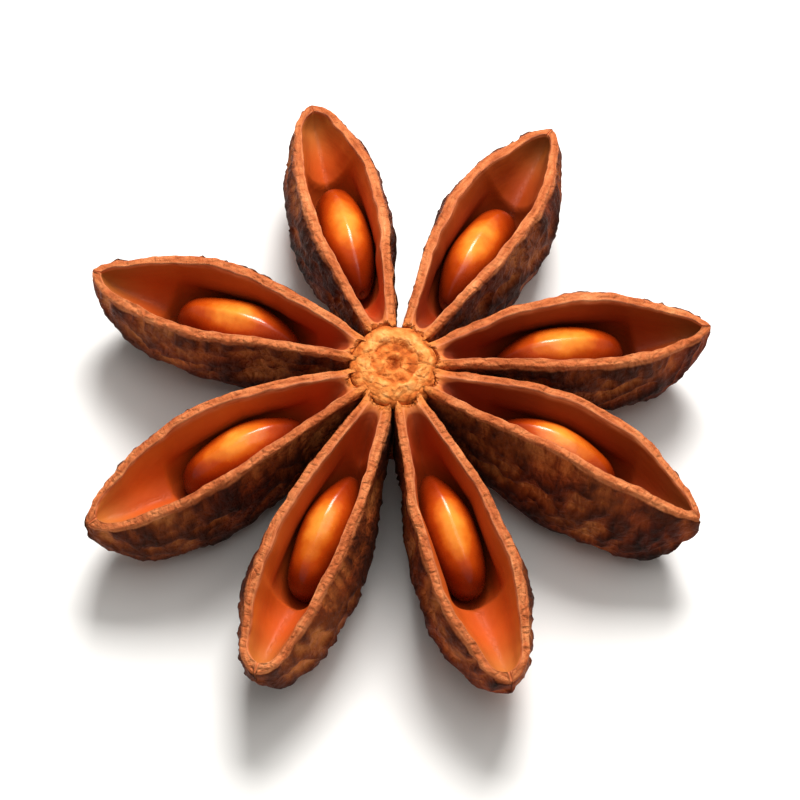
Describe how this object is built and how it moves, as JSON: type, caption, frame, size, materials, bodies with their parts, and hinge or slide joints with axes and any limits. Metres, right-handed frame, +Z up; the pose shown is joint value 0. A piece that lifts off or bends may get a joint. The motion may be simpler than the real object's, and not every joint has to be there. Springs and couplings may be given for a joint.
{
  "type": "star anise pod",
  "caption": "Dried star-shaped spice pod, open side up: boat-shaped woody carpels round a ringed column, each split open along its top round a glossy seed.",
  "frame": {"origin": "middle of the flat broken face of the stalk stub, level with the surface the pod lies on", "axes": "+Z up out of the open side along the column, +X and +Y in the plane of the star, with the picture taken from the -Y side"},
  "size_m": [0.0318, 0.0328, 0.0087],
  "materials": {
    "husk": "dry woody bark, matt and wrinkled outside, satin lining, paler lips",
    "seed": "hard polished seed coat, stands in for a glossy natural seed"
  },
  "bodies": {
    "root": {"husk": "husk", "seed_1": "seed", "seed_2": "seed", "seed_3": "seed", "seed_4": "seed", "seed_5": "seed", "seed_6": "seed", "seed_7": "seed", "seed_8": "seed"}
  },
  "joints": []
}
